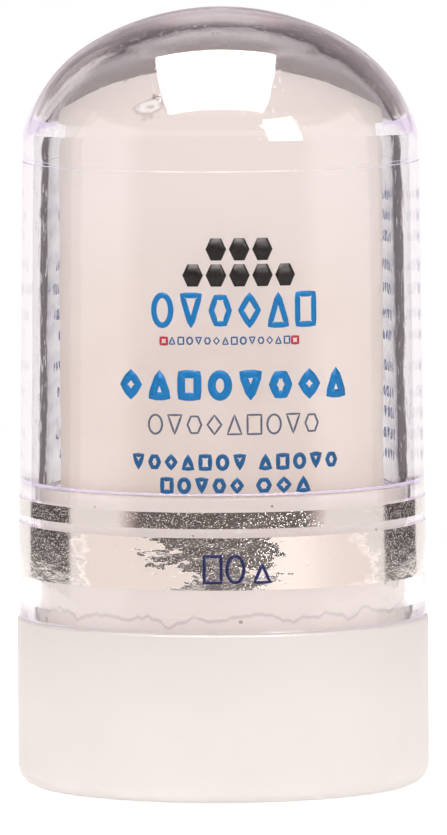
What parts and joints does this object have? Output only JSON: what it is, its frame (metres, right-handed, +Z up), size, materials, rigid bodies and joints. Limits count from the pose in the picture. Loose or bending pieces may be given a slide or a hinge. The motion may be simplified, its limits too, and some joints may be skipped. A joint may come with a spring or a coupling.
{
  "type": "deodorant stone",
  "caption": "Alum deodorant stone: a round mineral stick with a domed top, bedded in a white moulded base, under a clear domed cap with foil stripes that pulls straight off.",
  "frame": {"origin": "centre of the foot ring, on the surface that the base stands on", "axes": "+Z up along the axis of the stone, base and cap; the printed front of the cap faces -Y"},
  "size_m": [0.0394, 0.0394, 0.0744],
  "materials": {
    "base_polypropylene": "white polypropylene, injection moulded, satin",
    "hot_melt_adhesive": "set hot-melt adhesive, smooth",
    "alum_crystal": "cast potassium alum, polished, slightly cloudy",
    "cap_polystyrene": "clear polystyrene, injection moulded, glossy",
    "stripe_foil": "hot-stamped foil, mirror bright",
    "front_ink": "screen-printed ink, blue",
    "back_ink": "screen-printed ink, dark blue",
    "mark_ink": "screen-printed ink, navy"
  },
  "bodies": {
    "base": {"base_cup": "base_polypropylene", "adhesive_bed": "hot_melt_adhesive", "alum_stone": "alum_crystal"},
    "cap": {"clear_cap": "cap_polystyrene", "narrow_foil_stripe": "stripe_foil", "wide_foil_stripe": "stripe_foil", "front_print": "front_ink", "back_print": "back_ink", "quantity_mark": "mark_ink"}
  },
  "joints": [
    {"name": "cap_lift", "type": "slide", "parent": "base", "child": "cap", "axis": [0, 0, 1], "range_m": [0, 0.06]}
  ]
}
